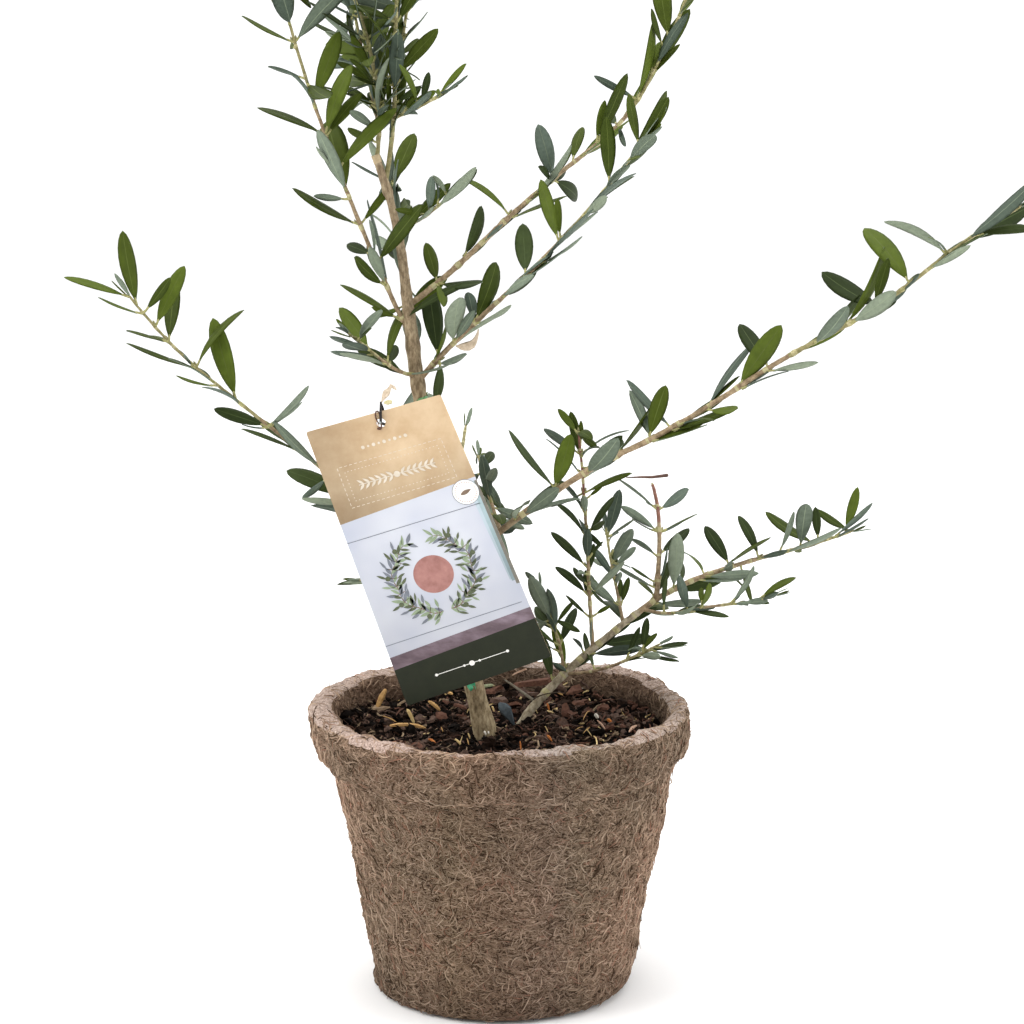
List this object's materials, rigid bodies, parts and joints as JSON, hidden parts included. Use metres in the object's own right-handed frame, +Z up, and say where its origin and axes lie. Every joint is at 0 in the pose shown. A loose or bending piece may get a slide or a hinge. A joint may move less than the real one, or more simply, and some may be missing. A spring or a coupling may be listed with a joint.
{
  "type": "potted olive tree",
  "caption": "Young olive tree with spreading, sparsely leaved shoots and a low second stem, growing in a tapered pressed-fibre pot, with a blank-lettered hanging card label on a wire loop.",
  "frame": {"origin": "centre of the pot's flat underside", "axes": "+Z up, the front of the plant faces -Y, +X to the right of the front view"},
  "size_m": [0.3263, 0.1643, 0.4084],
  "materials": {
    "pressed_fibre": "matte",
    "potting_mix": "matte",
    "trunk_bark": "matte",
    "young_bark": "matte",
    "leaves": "satin",
    "label_card": "satin",
    "label_wire": "satin",
    "tie": "satin"
  },
  "bodies": {
    "root": {"fibre_pot": "pressed_fibre", "potting_soil": "potting_mix", "trunk": "trunk_bark", "leader": "young_bark", "left_bough": "young_bark", "right_bough": "young_bark", "low_stem": "young_bark", "outer_right_bough": "young_bark", "inner_right_bough": "young_bark", "upper_left_bough": "young_bark", "back_left_bough": "young_bark", "back_mid_bough": "young_bark", "back_high_bough": "young_bark", "low_twig_a": "young_bark", "low_twig_b": "young_bark", "hang_label": "label_card", "label_wire": "label_wire", "lower_tie": "tie", "upper_tie": "tie", "foliage_left_inner": "leaves", "foliage_left_tip": "leaves", "foliage_left_twig": "leaves", "foliage_upper_left_low": "leaves", "foliage_upper_left_high": "leaves", "foliage_leader_low": "leaves", "foliage_leader_high": "leaves", "foliage_leader_left": "leaves", "foliage_rear_left": "leaves", "foliage_leader_right": "leaves", "foliage_leader_back": "leaves", "foliage_outer_right": "leaves", "foliage_outer_right_tip": "leaves", "foliage_inner_right": "leaves", "foliage_inner_right_tip": "leaves", "foliage_short_right": "leaves", "foliage_right_inner": "leaves", "foliage_right_middle": "leaves", "foliage_right_tip": "leaves", "foliage_side_twig": "leaves", "foliage_tag_twig": "leaves", "foliage_back_left": "leaves", "foliage_back_mid": "leaves", "foliage_back_high": "leaves", "foliage_low_tip": "leaves", "foliage_low_a": "leaves", "foliage_low_c": "leaves", "foliage_low_d": "leaves", "foliage_low_e": "leaves", "foliage_low_f": "leaves"}
  },
  "joints": []
}
